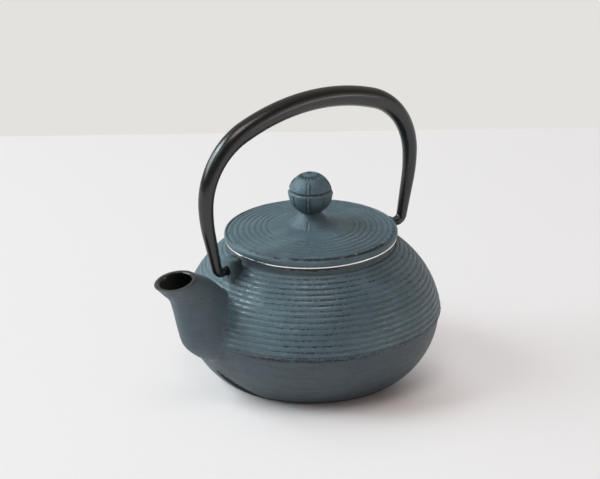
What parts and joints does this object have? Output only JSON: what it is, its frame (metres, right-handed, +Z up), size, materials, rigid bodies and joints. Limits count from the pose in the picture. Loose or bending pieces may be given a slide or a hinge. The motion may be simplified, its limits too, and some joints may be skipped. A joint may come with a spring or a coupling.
{
  "type": "cast iron teapot",
  "caption": "Small round cast iron teapot with a short spout, a ringed lift-off lid with a ball knob, a swinging steel bail and a lift-out steel tea basket for steeping and pouring tea.",
  "frame": {"origin": "centre of the flat base, on the pot's axis, where it stands on the table", "axes": "+Z up along the pot's axis, +X out of the spout and along the axis that the bail swings about, +Y to the side"},
  "size_m": [0.1478, 0.12, 0.1352],
  "materials": {
    "iron_paint": "matte blue-grey paint with darker worn grooves on cast iron, black enamel inside the pot",
    "dark_iron": "dark plain iron",
    "bail_black": "satin black lacquer on steel",
    "steel": "bright pressed stainless steel",
    "steel_mesh": "fine woven stainless steel mesh"
  },
  "bodies": {
    "pot": {"pot_body": "iron_paint"},
    "infuser": {"infuser_rim": "steel", "infuser_wall": "steel_mesh", "infuser_band": "steel", "infuser_base": "steel_mesh", "infuser_hem": "steel"},
    "lid": {"lid": "iron_paint", "knob": "iron_paint", "knob_washer": "dark_iron"},
    "bail": {"bail_handle": "bail_black"}
  },
  "joints": [
    {"name": "bail_swing", "type": "hinge", "parent": "pot", "child": "bail", "pos_m": [0, 0, 0.0598], "axis": [1, 0, 0], "range_deg": [-108, 108]},
    {"name": "infuser_lift", "type": "slide", "parent": "pot", "child": "infuser", "axis": [0, 0, 1], "range_m": [0, 0.028]},
    {"name": "lid_lift", "type": "slide", "parent": "infuser", "child": "lid", "axis": [0, 0, 1], "range_m": [0, 0.028]}
  ]
}
